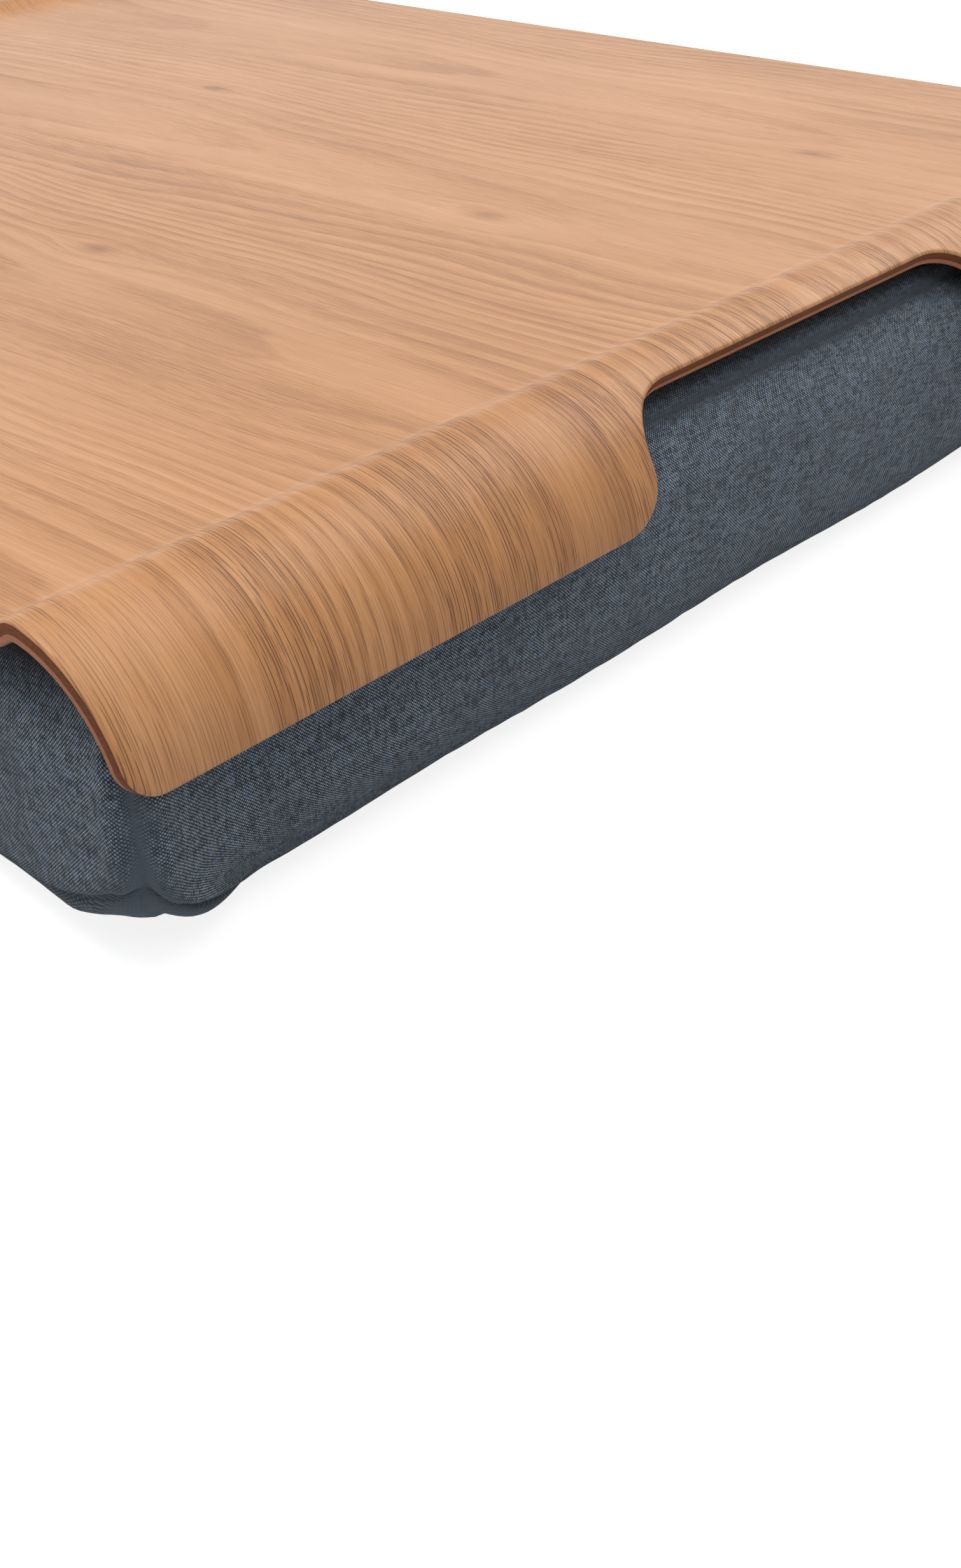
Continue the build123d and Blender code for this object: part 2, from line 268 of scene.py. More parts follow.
board = {
    "halfLength": 0.2300,
    "halfWidth": 0.1825,
    "height": 0.0650,
    "thickness": 0.0036,
    "rollRadius": 0.0260,
    "rollStart": 6.0,
    "rollEnd": 83.0,
    "crestRadius": 0.0070,
    "coveRadius": 0.0080,
    "riseAngle": 34.0,
    "riseLength": 0.0015,
    "flapCorner": 0.0065,
    "cutoutHalf": 0.0600,
    "cutoutLedge": 0.0100,
    "cutoutCorner": 0.0160,
    "cutoutFoot": 0.0110,
    "faceEasing": 0.0009,
    "backEasing": 0.0004,
    "supportRow": 0.0005,
    "levelPower": 1.5,
    "steps": {"flat": 16, "cove": 9, "crest": 15, "roll": 11, "cut": 17, "across": 15, "centre": 9},
}

# Veneer: knots as place along, place across and size; grains as cells to the metre along and across, then
# the noise's detail and roughness; pores as pitch, length, half width and a shift; tone shares as the
# weights of what darkens the wood

wood = {
    # where the roll begins, and how strong the pores are from flat to roll: partly the bend opening them,
    # partly painted shade
    "rollShadeFrom": 0.196,
    "rollShadeTo": 0.212,
    "rollShadeAndOpenPores": (0.42, 1.0),
    "knots": (
        (0.062, -0.060, 0.0030),
        (0.118, 0.012, 0.0034),
        (-0.040, 0.060, 0.0026),
        (0.150, 0.100, 0.0028),
        (-0.135, -0.105, 0.0030),
    ),
    "knotReach": (5.0, 2.6),
    "knotFall": 0.36788,
    "knotPull": 0.8,
    "knotCore": 7.0,
    "leafWidth": 0.098,
    "leafShift": 0.31,
    "grains": {
        "wander": (4.0, 10.0, 2.0, 0.50),
        "warp": (7.0, 34.0, 3.0, 0.60),
        "streak": (5.0, 260.0, 3.0, 0.60),
        "hair": (14.0, 2100.0, 3.0, 0.75),
        "broad": (3.0, 40.0, 3.0, 0.60),
        "drift": (9.0, 26.0, 3.0, 0.50),
        "patch": (6.0, 16.0, 2.0, 0.50),
    },
    "waveWidth": 0.022,
    "bow": 0.45,
    "arch": 30.0,
    "ringsAlong": 8.0,
    "warpShare": 1.5,
    "longPores": (0.00066, 0.022, 0.20, 3.0),
    "shortPores": (0.00050, 0.012, 0.20, 8.0),
    "toneShares": {"broad": 0.44, "drift": 0.34, "streak": 0.34, "hair": 0.55, "leaf": 0.16, "knot": 0.42},
    "pale": (0.715, 0.368, 0.180),
    "golden": (0.570, 0.266, 0.104),
    "brown": (0.310, 0.118, 0.036),
    "pore": (0.120, 0.042, 0.016),
    "roughness": 0.36,
}


def woodFace():
    # veneer: nested parabolas in each leaf, fibre lines, pores gathered in the rings' early wood, slow
    # drift, and painted shade on the roll
    material, tree, shader = startMaterial("woodFace")
    along, across = uvCoords(tree, "grain")
    share = wood["toneShares"]

    def grain(name, base):
        # noise drawn out along the grain
        perAlong, perAcross, detail, roughness = wood["grains"][name]
        return noise(join(times(along, perAlong), times(base, perAcross)), 1.0, detail, roughness)

    # small knots: the grain bends round each by a bell curve, and its middle is dark
    dark = 0.0
    reachAlong, reachAcross = wood["knotReach"]
    for placeAlong, placeAcross, size in wood["knots"]:
        fromAlong, fromAcross = less(along, placeAlong), less(across, placeAcross)
        farAlong = calc("DIVIDE", fromAlong, reachAlong * size)
        farAcross = calc("DIVIDE", fromAcross, reachAcross * size)
        near = calc("POWER", wood["knotFall"], add(times(farAlong, farAlong), times(farAcross, farAcross)))
        across = less(across, times(fromAcross, near, wood["knotPull"]))
        dark = add(dark, calc("POWER", near, wood["knotCore"]))
    # rings: a parabola across the leaf, a run along it and a warp
    wander = grain("wander", across)
    waved = add(across, swing(wander, wood["waveWidth"]))
    leafPlace = add(calc("DIVIDE", across, wood["leafWidth"]), wood["leafShift"])
    leafChance = speck(calc("FLOOR", leafPlace), 3.0)
    bowed = add(less(calc("FRACT", leafPlace), 0.5), swing(wander, wood["bow"]))
    run = add(times(along, wood["ringsAlong"]), times(leafChance, 7.0))
    warp = times(grain("warp", across), wood["warpShare"])
    ring = calc("FRACT", add(times(bowed, bowed, wood["arch"]), run, warp))
    ringTone = times(fade(ring, 0.10, 0.90), fade(ring, 1.0, 0.90))

    def dashes(pitch, length, halfWidth, shift):
        # one dark dash in each cell of the grid: near the cell's line, and shorter than its own chance
        lane = add(calc("DIVIDE", waved, pitch), shift)
        cell = calc("FLOOR", lane)
        chance = speck(cell, shift)
        offset = calc("ABSOLUTE", less(calc("FRACT", lane), linear(chance, 0.5, 0.25)))
        dashRun = add(calc("DIVIDE", along, length), times(chance, 37.0))
        part = calc("FRACT", dashRun)
        reach = speck(cell, calc("FLOOR", dashRun))
        shown = times(fade(part, 0.0, 0.10), fade(less(reach, part), -0.15, 0.05))
        return times(fade(offset, halfWidth, halfWidth * 0.35), shown)

    streak, hair, broad = (grain(name, waved) for name in ("streak", "hair", "broad"))
    poreZone = fade(add(times(ringTone, 0.16), broad), 0.40, 0.66)
    fine = calc("MAXIMUM", dashes(*wood["longPores"]), times(dashes(*wood["shortPores"]), 0.65))
    # the bend opens the pores; the roll's stronger pores are partly that and partly painted shade
    rollShadeAndOpenPores = fade(calc("ABSOLUTE", along), wood["rollShadeFrom"], wood["rollShadeTo"], *wood["rollShadeAndOpenPores"])
    pore = times(fine, rollShadeAndOpenPores, linear(poreZone, 0.60, 0.38))
    figure = times(ringTone, fade(grain("patch", across), 0.36, 0.60, 0.04, 0.22))
    tone = add(
        figure,
        times(broad, share["broad"]),
        times(grain("drift", across), share["drift"]),
        swing(streak, share["streak"]),
        swing(hair, share["hair"]),
        swing(leafChance, share["leaf"]),
        # painted shade: the roll's tone a little darker than the flat's
        fade(rollShadeAndOpenPores, *wood["rollShadeAndOpenPores"], 0.0, 0.05),
        times(dark, share["knot"]),
    )
    colour = ramp(tone, (0.16, wood["pale"]), (0.50, wood["golden"]), (0.92, wood["brown"]))
    setInputs(shader, {
        "Base Color": blendColour(times(pore, 0.85), colour, wood["pore"]),
        "Roughness": linear(pore, 0.2, wood["roughness"]),
        "Specular IOR Level": 0.26,
        "Coat Weight": 0.16,
        "Coat Roughness": 0.30,
        "Normal": bump(linear(hair, 0.25, less(1.0, pore)), 0.00006, 0.8),
    })
    return material


def plyWood(name, light, dark, roughness):
    # cut ply: fine streaks in the plane of the ply, end-grain flecks and a slow change of tone
    material, tree, shader = startMaterial(name)
    vector, (x, y, z) = objectCoords(tree)
    streak = noise(join(times(x, 900.0), times(y, 160.0), times(z, 2200.0)), 1.0, 3.0, 0.6)
    fleck = noise(vector, 4200.0, 2.0, 0.6)
    tone = add(times(streak, 0.55), times(fleck, 0.30), times(noise(vector, 40.0), 0.25))
    setInputs(shader, {
        "Base Color": ramp(tone, (0.32, light), (0.72, dark)),
        "Roughness": roughness,
        "Specular IOR Level": 0.2,
        "Normal": bump(fleck, 0.00005, 0.6),
    })
    return material


def boardInset(depth):
    # how far a rounded arris draws in the outline at a depth: r less the root of r squared less rest squared
    face, back = board["faceEasing"], board["backEasing"]
    upper = max(face - depth, 0.0)
    lower = max(depth - board["thickness"] + back, 0.0)
    return face - np.sqrt(face ** 2 - upper ** 2) + back - np.sqrt(max(back ** 2 - lower ** 2, 0.0))


def boardHalf(depth):
    # the right half of a sheet: its line as x and z, its length over the face, inner and outer half widths
    b, steps = board, board["steps"]
    inset = boardInset(depth)
    rise, start, end = (np.radians(b[key]) for key in ("riseAngle", "rollStart", "rollEnd"))
    crestZ = b["height"] - b["crestRadius"]
    rollZ = crestZ - (b["rollRadius"] - b["crestRadius"]) * np.cos(start)
    rollX = b["halfLength"] - b["rollRadius"] * np.sin(end)
    crestX = rollX + (b["rollRadius"] - b["crestRadius"]) * np.sin(start)
    coveX = crestX - (b["crestRadius"] + b["coveRadius"]) * np.sin(rise) - b["riseLength"] * np.cos(rise)
    coveZ = crestZ + (b["crestRadius"] + b["coveRadius"]) * np.cos(rise) - b["riseLength"] * np.sin(rise)
    ledgeTurn = np.arcsin((crestX + b["cutoutLedge"] - rollX) / b["rollRadius"])
    # the cut-out's edge over the bent face: an arc of the corner's radius runs into one of the foot's
    cutRun = b["rollRadius"] * (end - ledgeTurn)
    turn = np.arccos(max(0.0, 1 - cutRun / (b["cutoutCorner"] + b["cutoutFoot"])))
    corner, foot = b["cutoutCorner"] + inset, b["cutoutFoot"] - inset
    angles = np.linspace(0, turn, steps["cut"])
    back = angles[-2::-1]
    run = np.concatenate([corner * (1 - np.cos(angles)), cutRun - foot * (1 - np.cos(back))])
    cutHalf = np.concatenate([
        b["cutoutHalf"] - b["cutoutCorner"] * np.sin(turn) + corner * np.sin(angles),
        b["cutoutHalf"] + b["cutoutFoot"] * np.sin(turn) - foot * np.sin(back),
    ])
    flap = b["flapCorner"] - inset
    flapRun = np.clip(flap - cutRun + run, 0, flap)
    cutOuter = b["halfWidth"] - b["flapCorner"] + np.sqrt(flap ** 2 - flapRun ** 2)
    cutTurn = ledgeTurn + (run - inset) / b["rollRadius"]
    support = b["supportRow"] / b["rollRadius"]
    before = np.linspace(start, cutTurn[0] - 2 * support, steps["roll"])[1:]
    rollTurn = np.concatenate([before, [cutTurn[0] - support], cutTurn])
    flatX = np.linspace(0, coveX, steps["flat"])
    coveTurn = np.linspace(0, rise, steps["cove"])[1:]
    crestTurn = np.linspace(-rise, start, steps["crest"])

    def line(sink):
        # the board's line at a depth: the flat and three arcs
        xs, zs = [flatX], [np.full(len(flatX), coveZ - b["coveRadius"] - sink)]
        for midX, midZ, radius, bend, way in (
            (coveX, coveZ, b["coveRadius"] + sink, coveTurn, -1),
            (crestX, crestZ, b["crestRadius"] - sink, crestTurn, 1),
            (rollX, rollZ, b["rollRadius"] - sink, rollTurn, 1),
        ):
            xs.append(midX + radius * np.sin(bend))
            zs.append(midZ + way * radius * np.cos(bend))
        return np.concatenate(xs), np.concatenate(zs)

    length = np.concatenate([[0], np.cumsum(np.hypot(*np.diff(line(0.0))))])
    edgeColumn = len(length) - len(run)
    inner = np.concatenate([np.full(edgeColumn, cutHalf[0]), cutHalf])
    outer = np.concatenate([np.full(edgeColumn, b["halfWidth"] - inset), cutOuter])
    return *line(depth), length, inner, outer, edgeColumn


def boardSurface(depth):
    # the trimmed sheet at a depth: two strips that run down the flaps and one between the cut-outs
    *halves, edgeColumn = boardHalf(depth)
    x, z, length, inner, outer = (
        np.concatenate([sign * half[:0:-1], half]) for sign, half in zip((-1, 1, -1, 1, 1), halves)
    )
    support = board["supportRow"] / (board["halfWidth"] - board["cutoutHalf"])
    share = np.linspace(0, 1, board["steps"]["across"])[1:-1]
    share = np.concatenate([[0, support], share, [1 - support, 1]])
    side = inner[:, None] + share * (outer - inner)[:, None]
    middle = len(x) // 2
    band = slice(middle - edgeColumn, middle + edgeColumn + 1)
    centre = np.linspace(-1, 1, board["steps"]["centre"])[1:-1] * inner[band][:, None]
    points, lengths, indexes, first = [], [], [], 0
    for y, column in ((-side[:, ::-1], slice(None)), (side, slice(None)), (centre, band)):
        points.append(stacked(x[column][:, None], y, z[column][:, None]).reshape(-1, 3))
        lengths.append(stacked(length[column][:, None], y).reshape(-1, 2))
        indexes.append(first + pointNumbers(y.shape))
        first += y.size
    joined = np.hstack([indexes[0][band, -1:], indexes[2], indexes[1][band, :1]])
    faces = np.vstack([gridFaces(index) for index in (indexes[0], indexes[1], joined)])
    return np.vstack(points), faces, np.vstack(lengths)


def boardPly(name, depth, thickness, material, levels):
    # one ply: its upper and lower sheets, with a wall of that many levels round their open edges
    sinks = depth + thickness * np.linspace(0, 1, levels) ** board["levelPower"]
    sheets = [boardSurface(sink) for sink in sinks]
    faces = sheets[0][1]
    count = len(sheets[0][0])
    starts, ends = openEdges(faces)
    allFaces = [faces, faces[:, ::-1] + count * (levels - 1)]
    for upper in range(0, count * (levels - 1), count):
        lower = upper + count
        allFaces.append(stacked(ends + upper, starts + upper, starts + lower, ends + lower))
    used, renumbered = np.unique(np.vstack(allFaces), return_inverse=True)
    renumbered = renumbered.reshape(-1, 4)
    points = np.vstack([sheet[0] for sheet in sheets])[used]
    spread = np.vstack([sheet[2] for sheet in sheets])[used]
    return addMesh(name, points, renumbered, material, spread[renumbered], "grain")


plyLooks = {
    "plyDark": ((0.270, 0.080, 0.022), (0.120, 0.034, 0.010), 0.60),
    "plyLight": ((0.640, 0.250, 0.125), (0.420, 0.145, 0.066), 0.55),
    "backVeneer": ((0.480, 0.250, 0.140), (0.300, 0.140, 0.070), 0.50),
}
boardLooks = {name: plyWood(name, *look) for name, look in plyLooks.items()}
boardLooks["woodFace"] = woodFace()
plies = (
    ("faceVeneer", "face_veneer", "wood_face", 0.0, 0.0005, "woodFace", 7),
    ("upperCrossPly", "upper_cross_ply", "ply_dark", 0.0005, 0.00085, "plyDark", 4),
    ("corePly", "core_ply", "ply_dark", 0.00135, 0.0009, "plyDark", 2),
    ("lowerCrossPly", "lower_cross_ply", "ply_light", 0.00225, 0.00085, "plyLight", 2),
    ("backVeneer", "back_veneer", "ply_light", 0.0031, 0.0005, "backVeneer", 6),
)
for name, node, slotName, depth, thickness, look, levels in plies:
    place(boardPly(name, depth, thickness, boardLooks[look], levels), "tray", slotName, node)
print("tray board made")

# Cushion: outline and profile in metres

cushion = {
    "halfLength": 0.2260,
    "halfWidth": 0.1815,
    "height": 0.0557,
    "cornerRadius": 0.0075,
    "endDraw": (0.0046, 0.0040, 0.0240),
    "sideDraw": (0.0040, 0.0160, 0.1200),
    "baseRound": (0.0200, 0.0260),
    "cornerRound": 0.0325,
    "cornerRun": (0.0230, 0.0110),
    "topRound": 0.0170,
    "topSeam": 0.0530,
    "bottomSeam": (0.0100, 0.0050),
    "cornerSeam": 0.0248,
    "liftRun": (0.034, 0.020),
    "liftPower": (1.35, 1.15),
    "earReach": 0.0016,
    "earHeight": 0.0180,
    "earSpread": (0.0110, 0.0085),
    "topShare": 0.35,
    "seamDepth": 0.0012,
    "seamWidth": 0.0011,
    "rollReach": 0.0008,
    "rollPlace": 0.0034,
    "rollWidth": 0.0022,
    "slack": 0.00034,
    "slackPitch": (0.085, 0.060),
    "slackFrom": (0.004, 0.016),
    "slackTo": 0.012,
    "pucker": 0.25,
    "puckerPitch": 0.013,
    "puckerRun": 0.007,
    "lidSag": 0.0005,
    "lidPitch": (0.11, 0.09),
    "sidePhase": 0.7,
    "steps": {"top": 8, "side": 34, "base": 26, "flat": 21},
    "seed": 7,
}

# Zip in the cushion's back: the slot's own sizes in metres, and what the CAD's nodes give

tapeLow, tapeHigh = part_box("zip_tape_lower")[0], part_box("zip_tape_upper")[1]
chainLow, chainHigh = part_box("zip_chain")
zipper = {
    "centre": (chainLow[2] + chainHigh[2]) / 2,
    "halfHeight": 0.0055,
    "halfLength": tapeHigh[0] + 0.0003,
    "floor": tapeLow[1],
    "cornerRadius": 0.0010,
    "lipReach": 0.0032,
    "lipRise": 0.00034,
    "tuck": 0.0002,
    "quiet": 0.012,
    "toothPitch": 0.0013,
    "tapeRibs": 9,
}

stitch = {"length": 0.0026, "gap": 0.0006, "radius": 0.00020}

# Cover fabric: yarn pitch in metres, its colours, what each tone weighs, and the rare tinted fibres

weave = {
    "pitch": 0.000335,
    "light": (0.400, 0.480, 0.570),
    # the dark stands for the dark yarns and for painted shade in the dips between the yarns
    "dark": (0.004, 0.006, 0.010),
    "fuzz": (0.059, 0.080, 0.104),
    "shares": {"over": 0.80, "yarn": 0.36, "heather": 0.50, "height": 0.55},
    "tints": (
        (0.0, (0.75, 0.95, 1.3)),
        (0.35, (1.0, 1.0, 1.0)),
        (0.8, (1.0, 1.0, 1.0)),
        (0.93, (0.85, 1.12, 0.95)),
        (1.0, (1.35, 1.0, 0.85)),
    ),
    "roughness": 0.88,
}


def smooth(value, low, high):
    # a step that eases in and out between two limits
    t = np.clip((value - low) / (high - low), 0, 1)
    return t * t * (3 - 2 * t)


def waves(u, v, seed, count, pitchU, pitchV):
    # a sum of sine waves with seeded directions and phases, about -1 to 1
    chance = np.random.default_rng(seed)
    total = np.zeros(np.broadcast(u, v).shape)
    for _ in range(count):
        a, b = chance.uniform(0.6, 1.6, 2) * chance.choice((-1, 1), 2)
        total = total + np.sin(2 * np.pi * (u / pitchU * a + v / pitchV * b) + chance.uniform(0, 2 * np.pi))
    return total / np.sqrt(count)


def sideShares(fine, coarse):
    # places along one side from -1 to 1, close together near the corners
    near = 1 - np.linspace(0, 1, fine, endpoint=False) ** 1.3 * 0.2
    return np.concatenate([-near, np.linspace(-0.8, 0.8, coarse), near[::-1]])


def sideRun(half, other, fine, coarse):
    # one side of a rounded oblong, from the middle of one corner to the middle of the next
    radius = cushion["cornerRadius"]
    turn = np.radians(np.linspace(-45, 0, 6)[:-1])
    share = sideShares(fine, coarse) * (half - radius)
    if half > other:
        # columns close together at the two ends of the zip's slot
        ends = zipper["halfLength"] + np.array([-0.0008, 0.0006, 0.0020])
        share = np.union1d(share, np.concatenate([-ends, ends]))
    bendAlong, bendOut = half - radius - radius * np.sin(turn), other - radius + radius * np.cos(turn)
    along = np.concatenate([-bendAlong, share, bendAlong[::-1]])
    return along, np.concatenate([bendOut, np.full(len(share), other), bendOut[::-1]])


def cushionOutline(fine, coarse):
    # columns round the oblong: place along the side, distance out, next place, side and its half length
    columns = []
    for number in range(4):
        halves = cushion["halfLength"], cushion["halfWidth"]
        half, other = halves if number % 2 == 0 else halves[::-1]
        along, out = sideRun(half, other, fine, coarse)
        columns.append(stacked(along[:-1], out[:-1], along[1:], number, half))
    return np.vstack(columns).T


def cushionProfile(fromCorner, longSide, inset):
    # each column down from the top's edge: an arc, a straight and an arc that grows at the corners; gives
    # the rows' runs, how far they lie in, their heights, the runs of top and base seam, and the whole run
    c, steps = cushion, cushion["steps"]
    seamHeight = np.where(longSide, *[
        level + (c["cornerSeam"] - level) * np.clip(1 - fromCorner / run, 0, 1) ** power
        for level, run, power in zip(c["bottomSeam"], c["liftRun"], c["liftPower"])
    ])
    baseArc = np.where(longSide, *[
        arc + (c["cornerRound"] - arc) * smooth(1 - fromCorner / run, 0, 1)
        for arc, run in zip(c["baseRound"], c["cornerRun"])
    ])
    topArc = c["topRound"] * np.pi / 2
    straightRun = c["height"] - c["topRound"] - baseArc
    reach = topArc + straightRun + baseArc * np.pi / 2
    seamTop = c["topRound"] * np.arccos(1 - (c["height"] - c["topSeam"]) / c["topRound"])
    onArc = straightRun + baseArc * np.arcsin(np.clip(1 - seamHeight / baseArc, 0, 1))
    seamBase = topArc + np.where(seamHeight > baseArc, c["height"] - c["topRound"] - seamHeight, onArc)
    # rows on the top, side and base, close together at the seams
    topShare = np.linspace(0, 1, steps["top"], endpoint=False)
    sideShare = (1 - np.cos(np.linspace(0, np.pi, steps["side"]))) / 2
    baseShare = 1 - np.cos(np.linspace(0, np.pi / 2, steps["base"])[1:])
    rows = np.vstack([
        np.broadcast_to(topShare[:, None] * seamTop, (len(topShare), len(fromCorner))),
        seamTop + sideShare[:, None] * (seamBase - seamTop),
        seamBase + baseShare[:, None] * (reach - seamBase),
    ])
    upper = np.clip(rows / c["topRound"], 0, np.pi / 2)
    lower = np.clip((rows - topArc - straightRun) / baseArc, 0, np.pi / 2)
    step = c["topRound"] * (1 - np.sin(upper)) + baseArc * (1 - np.cos(lower)) + inset
    fall = c["topRound"] * (1 - np.cos(upper)) + baseArc * np.sin(lower)
    height = np.clip(c["height"] - fall - np.clip(rows - topArc, 0, straightRun), inset, c["height"] - inset)
    return rows, step, height, seamTop, seamBase, reach


def slotGaps(height, along):
    # how far a place on the back lies above or below the zip's slot, and how far beyond its ends
    return np.abs(height - zipper["centre"]) - zipper["halfHeight"], np.abs(along) - zipper["halfLength"]


def swollen(grid, rows, reach, gaps, along, side):
    # the grid moved along its normals: seams pressed in with the fabric rolled up beside them, slow slack,
    # and puckers along the base seam
    c = cushion
    weight = np.array([1.0, 1.0, c["topShare"]])[:, None, None]
    rolled = c["rollReach"] * (weight * bell(gaps - c["rollPlace"], c["rollWidth"])).max(axis=0)
    pressed = rolled - c["seamDepth"] * (weight * bell(gaps, c["seamWidth"])).max(axis=0)
    wander = along + side * c["sidePhase"]
    pucker = waves(wander, rows * 0, c["seed"], 6, c["puckerPitch"], 1.0)
    pucker = pucker * np.exp(-gaps[1] / c["puckerRun"]) * c["pucker"]
    broad = waves(wander, rows, c["seed"] + 1, 7, *c["slackPitch"])
    body = smooth(rows, *c["slackFrom"]) * (1 - smooth(rows, reach - c["slackTo"], reach))
    # the back lies still round the zip's slot
    beside = np.maximum(*slotGaps(grid[..., 2], along))
    calm = np.where(side == 2, smooth(beside, zipper["lipReach"], zipper["quiet"]), 1.0)
    swell = (pressed + c["slack"] * (broad + pucker) * body) * calm
    swell = swell * smooth(rows, 0.0, 0.003) * (1 - smooth(rows, reach - 0.006, reach))
    across = np.gradient(np.concatenate([grid[:, -1:], grid, grid[:, :1]], axis=1), axis=1)[:, 1:-1]
    normal = np.cross(np.gradient(grid, axis=0), across)
    normal /= np.maximum(np.linalg.norm(normal, axis=-1, keepdims=True), 1e-12)
    return grid + normal * swell[..., None]


def padRows(values):
    # nothing on the rows of the flat top and base
    return np.pad(values, ((cushion["steps"]["flat"],) * 2, (0, 0)))


def panelUv(whole, rows, reach, wander, wanderNext, way):
    # each panel is cut with its own threads: sides by the runs along and down, top and base by x and y
    steps = cushion["steps"]
    first = steps["flat"] + steps["top"]
    onSide = np.zeros(len(whole) - 1, dtype=bool)
    onSide[first:first + steps["side"] - 1] = True
    depths, unrolled = padRows(rows), padRows(reach - rows)
    sideUv = cornerPairs(stacked(wander, depths), stacked(wanderNext, np.roll(depths, -1, axis=1)))
    # the round base edge unrolls outwards from its flat foot, square to its side
    unrolled[:first + 1] = 0
    foot = np.where((unrolled > 0)[..., None], whole[-steps["flat"] - 1, :, :2], whole[..., :2])
    right = np.roll(foot, -1, axis=1) + np.roll(unrolled, -1, axis=1)[..., None] * way
    flatUv = cornerPairs(foot + unrolled[..., None] * way, right)
    return np.where(onSide[:, None, None, None], sideUv, flatUv).reshape(-1, 4, 2)


def cushionSurface(inset, fine=22, coarse=76):
    # the closed cover: its profile carried round a drawn-in oblong, with seams, ears, threads and worn yarns
    c = cushion
    along, out, alongNext, side, half = cushionOutline(fine, coarse)
    fromCorner = half - np.abs(along)
    longSide = side % 2 == 0
    rows, step, height, seamTop, seamBase, reach = cushionProfile(fromCorner, longSide, inset)
    drawn = np.where(longSide, *[
        amount * smooth(fromCorner, low, high) for amount, low, high in (c["sideDraw"], c["endDraw"])
    ])
    run = half - c["cornerRadius"]
    straight = np.abs(along) <= run + 1e-9
    shrink = np.where(straight, along / run * (run - step), along - np.sign(along) * step)
    outward = out - step - drawn
    cosine, sine = np.cos(side * np.pi / 2), np.sin(side * np.pi / 2)
    x = shrink * cosine + outward * sine
    y = shrink * sine - outward * cosine
    grid = stacked(x, y, height)
    # distances from the corner, base and top seams
    cornerGap = np.maximum(fromCorner - c["cornerRadius"] * (1 - np.sqrt(0.5)), 0)
    baseGap, topGap = rows - seamBase, rows - seamTop
    inSide = (topGap > 0) & (baseGap < 0)
    gaps = np.stack([np.where(inSide, cornerGap, 1.0), np.abs(baseGap), np.abs(topGap)])
    # ears: the stuffed corners stand out where three seams meet
    earWide, earHigh = c["earSpread"]
    ear = bell(cornerGap, earWide) * bell(height - c["earHeight"], earHigh)
    if inset == 0:
        grid = swollen(grid, rows, reach, gaps, along, side)
        diagonal = stacked(np.sign(x), np.sign(y)) / np.sqrt(2)
        grid[..., :2] += diagonal * (c["earReach"] * ear)[..., None]
        grid[..., 2] = np.clip(grid[..., 2], 0, c["height"] + 0.0004)
        upDown, sideways = slotGaps(height, along)
        inSlot = (side == 2) & (upDown < 0.0015) & (sideways < 0.0008)
        grid[..., 1] = np.where(inSlot, zipper["floor"] - zipper["tuck"], grid[..., 1])
    # the flat top and base close on the middle
    flat = c["steps"]["flat"]
    shares = np.arange(flat)[:, None, None] / flat
    lid = grid[0] * np.array([1, 1, 0]) * shares + np.array([0, 0, 1]) * grid[0, :, 2:][None]
    dip = waves(lid[..., 0], lid[..., 1], c["seed"] + 2, 6, *c["lidPitch"]) * 0.5 + 0.5
    lid[..., 2] -= c["lidSag"] * np.clip(dip, 0, 1) * smooth(1 - shares[..., 0], 0.0, 0.12)
    base = grid[-1] * np.array([1, 1, 0]) * shares[::-1] + np.array([0, 0, 1]) * grid[-1, :, 2:][None]
    whole = np.concatenate([lid, grid, base])
    phase = side * c["sidePhase"]
    uv = panelUv(whole, rows, reach, along + phase, alongNext + phase, stacked(sine, -cosine))
    # worn yarns along the seams and at the ears
    fuzz = np.exp(-gaps.min(axis=0) / 0.0026) + 0.9 * ear * bell(cornerGap, 0.006)
    fuzz = fuzz + 0.9 * bell(cornerGap, 0.018) * smooth(baseGap, 0.0, 0.004)
    faces = gridFaces(pointNumbers(whole.shape, closed=True))
    return whole.reshape(-1, 3), faces, uv, padRows(np.clip(fuzz, 0, 1)).ravel()


def editMesh(piece, change):
    # the piece's mesh with a change made to it
    work = bmesh.new()
    work.from_mesh(piece.data)
    change(work)
    work.to_mesh(piece.data)
    work.free()


def weld(work):
    # points that lie in one place, as in the middle of the top and base, become one
    bmesh.ops.remove_doubles(work, verts=work.verts, dist=1e-7)
    bmesh.ops.delete(work, geom=[vert for vert in work.verts if not vert.link_faces], context="VERTS")


def closeEnds(work):
    # open ends are filled, and every face turned outwards
    bmesh.ops.holes_fill(work, edges=[edge for edge in work.edges if edge.is_boundary])
    bmesh.ops.recalc_face_normals(work, faces=work.faces)


